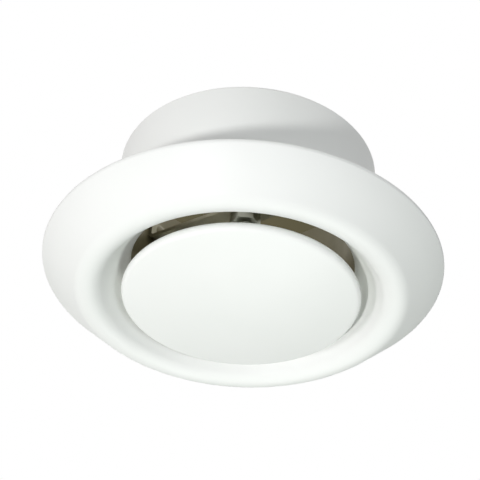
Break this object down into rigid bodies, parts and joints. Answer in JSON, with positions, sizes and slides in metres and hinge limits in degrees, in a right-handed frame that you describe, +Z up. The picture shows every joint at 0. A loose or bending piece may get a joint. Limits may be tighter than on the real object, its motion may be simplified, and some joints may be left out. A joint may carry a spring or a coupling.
{
  "type": "air outlet vent",
  "caption": "Round ceiling air valve: a domed disc on a threaded spindle sets the air gap in a bell-shaped ring, which twists into a flanged duct collar.",
  "frame": {"origin": "on the duct's axis, in the ceiling plane that the collar's flange lies against", "axes": "+Z up along the axis into the duct, the face looks down along -Z, +X and +Y lie in the ceiling plane"},
  "size_m": [0.1466, 0.1466, 0.0653],
  "materials": {
    "white_coat": "semi-gloss white powder coat on steel sheet",
    "zinc_steel": "zinc-plated steel, dull",
    "foam": "dark closed-cell foam"
  },
  "bodies": {
    "collar": {"mounting_collar": "white_coat"},
    "insert": {"valve_ring": "white_coat", "neck_sleeve": "zinc_steel", "neck_gasket": "foam", "bayonet_lugs": "zinc_steel", "bridge": "zinc_steel", "bridge_rivets": "zinc_steel", "bridge_nut": "zinc_steel", "lock_washer": "zinc_steel", "lock_nut": "zinc_steel"},
    "clip": {"stop_clip": "zinc_steel"},
    "disc": {"valve_disc": "white_coat", "disc_hub": "zinc_steel", "spindle": "zinc_steel"}
  },
  "joints": [
    {"name": "bayonet_twist", "type": "hinge", "parent": "collar", "child": "insert", "pos_m": [0, 0, 0], "axis": [0, 0, 1], "range_deg": [-24, 0]},
    {"name": "disc_travel", "type": "slide", "parent": "insert", "child": "clip", "axis": [0, 0, 1], "range_m": [-0.00701, 0.00801]},
    {"name": "disc_turn", "type": "hinge", "parent": "clip", "child": "disc", "pos_m": [0, 0, 0], "axis": [0, 0, 1], "range_deg": [-2520, 2880]}
  ],
  "couplings": [
    {"joint": "disc_travel", "follows": "disc_turn", "m_per_rad": 0.00015915}
  ]
}
